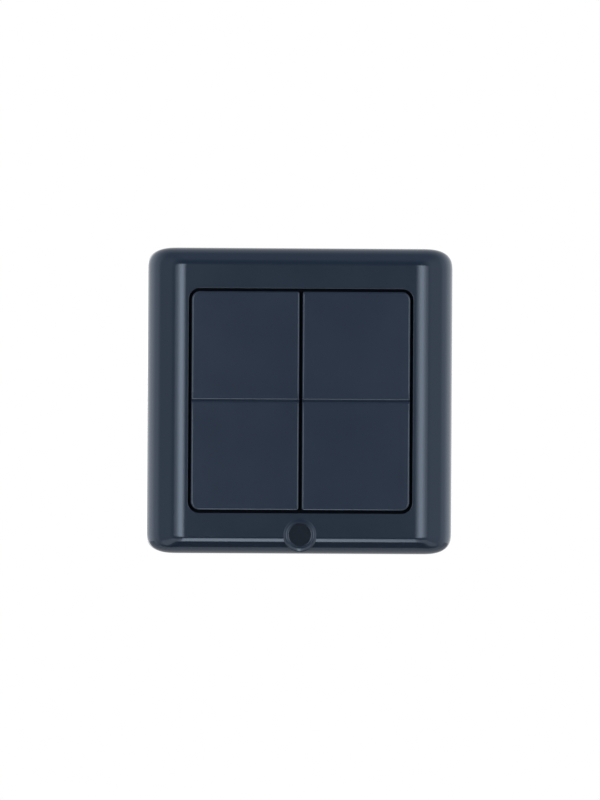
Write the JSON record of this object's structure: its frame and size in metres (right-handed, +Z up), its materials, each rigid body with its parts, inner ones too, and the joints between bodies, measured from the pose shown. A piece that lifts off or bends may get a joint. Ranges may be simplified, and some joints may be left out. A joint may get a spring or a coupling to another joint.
{
  "type": "wireless wall switch",
  "caption": "Square wall-mounted wireless switch: one-piece frame with a bare round boss, side-by-side tilting rockers, tact switches, radio board and coin cell on a screw-on wall plate.",
  "frame": {"origin": "middle of the wall plate's rear face, on the wall", "axes": "+Y points into the wall, the rockers face -Y, +Z is up and +X is to the right as seen from the room"},
  "size_m": [0.08, 0.0163, 0.08],
  "materials": {
    "frame_plastic": "satin, fine grain",
    "rocker_plastic": "satin, fine grain",
    "inner_plastic": "matt",
    "wall_plate_plastic": "matt",
    "board_laminate": "solder mask",
    "module_laminate": "solder mask",
    "black_resin": "matt",
    "plunger_resin": "satin",
    "sheet_steel": "brushed",
    "nickel_plate": "bright",
    "cell_steel": "brushed",
    "zinc_steel": "zinc plated",
    "ceramic": "glazed",
    "component_brown": "satin"
  },
  "bodies": {
    "base": {"battery_holder": "inner_plastic", "board_components": "component_brown", "case_screws": "zinc_steel", "circuit_board": "board_laminate", "coin_cell": "cell_steel", "cover_frame": "frame_plastic", "lower_left_cover_plate": "sheet_steel", "lower_left_switch": "black_resin", "lower_right_cover_plate": "sheet_steel", "lower_right_switch": "black_resin", "negative_contact": "nickel_plate", "positive_contact": "nickel_plate", "radio_antenna": "ceramic", "radio_chip": "black_resin", "radio_module": "module_laminate", "radio_shield": "sheet_steel", "rear_housing": "inner_plastic", "rocker_carrier": "inner_plastic", "switch_terminals": "nickel_plate", "upper_left_cover_plate": "sheet_steel", "upper_left_switch": "black_resin", "upper_right_cover_plate": "sheet_steel", "upper_right_switch": "black_resin", "wall_plate": "wall_plate_plastic"},
    "left_rocker": {"left_rocker": "rocker_plastic"},
    "right_rocker": {"right_rocker": "rocker_plastic"},
    "battery_door": {"battery_door": "inner_plastic"},
    "upper_left_plunger": {"upper_left_plunger": "plunger_resin"},
    "upper_right_plunger": {"upper_right_plunger": "plunger_resin"},
    "lower_left_plunger": {"lower_left_plunger": "plunger_resin"},
    "lower_right_plunger": {"lower_right_plunger": "plunger_resin"}
  },
  "joints": [
    {"name": "left_rocker_tilt", "type": "hinge", "parent": "base", "child": "left_rocker", "pos_m": [-0.0145, -0.0135, 0], "axis": [1, 0, 0], "range_deg": [-2, 2], "stiffness_Nm_per_rad": 1.4},
    {"name": "right_rocker_tilt", "type": "hinge", "parent": "base", "child": "right_rocker", "pos_m": [0.0145, -0.0135, 0], "axis": [1, 0, 0], "range_deg": [-2, 2], "stiffness_Nm_per_rad": 1.4},
    {"name": "upper_left_plunger_press", "type": "slide", "parent": "base", "child": "upper_left_plunger", "axis": [0, 1, 0], "range_m": [-0.00042, 0.00042]},
    {"name": "upper_right_plunger_press", "type": "slide", "parent": "base", "child": "upper_right_plunger", "axis": [0, 1, 0], "range_m": [-0.00042, 0.00042]},
    {"name": "lower_left_plunger_press", "type": "slide", "parent": "base", "child": "lower_left_plunger", "axis": [0, 1, 0], "range_m": [-0.00042, 0.00042]},
    {"name": "lower_right_plunger_press", "type": "slide", "parent": "base", "child": "lower_right_plunger", "axis": [0, 1, 0], "range_m": [-0.00042, 0.00042]},
    {"name": "battery_door_turn", "type": "hinge", "parent": "base", "child": "battery_door", "pos_m": [0, -0.0026, 0], "axis": [0, 1, 0], "range_deg": [0, 40]}
  ],
  "couplings": [
    {"joint": "upper_left_plunger_press", "follows": "left_rocker_tilt", "m_per_rad": -0.012},
    {"joint": "upper_right_plunger_press", "follows": "right_rocker_tilt", "m_per_rad": -0.012},
    {"joint": "lower_left_plunger_press", "follows": "left_rocker_tilt", "m_per_rad": 0.012},
    {"joint": "lower_right_plunger_press", "follows": "right_rocker_tilt", "m_per_rad": 0.012}
  ]
}
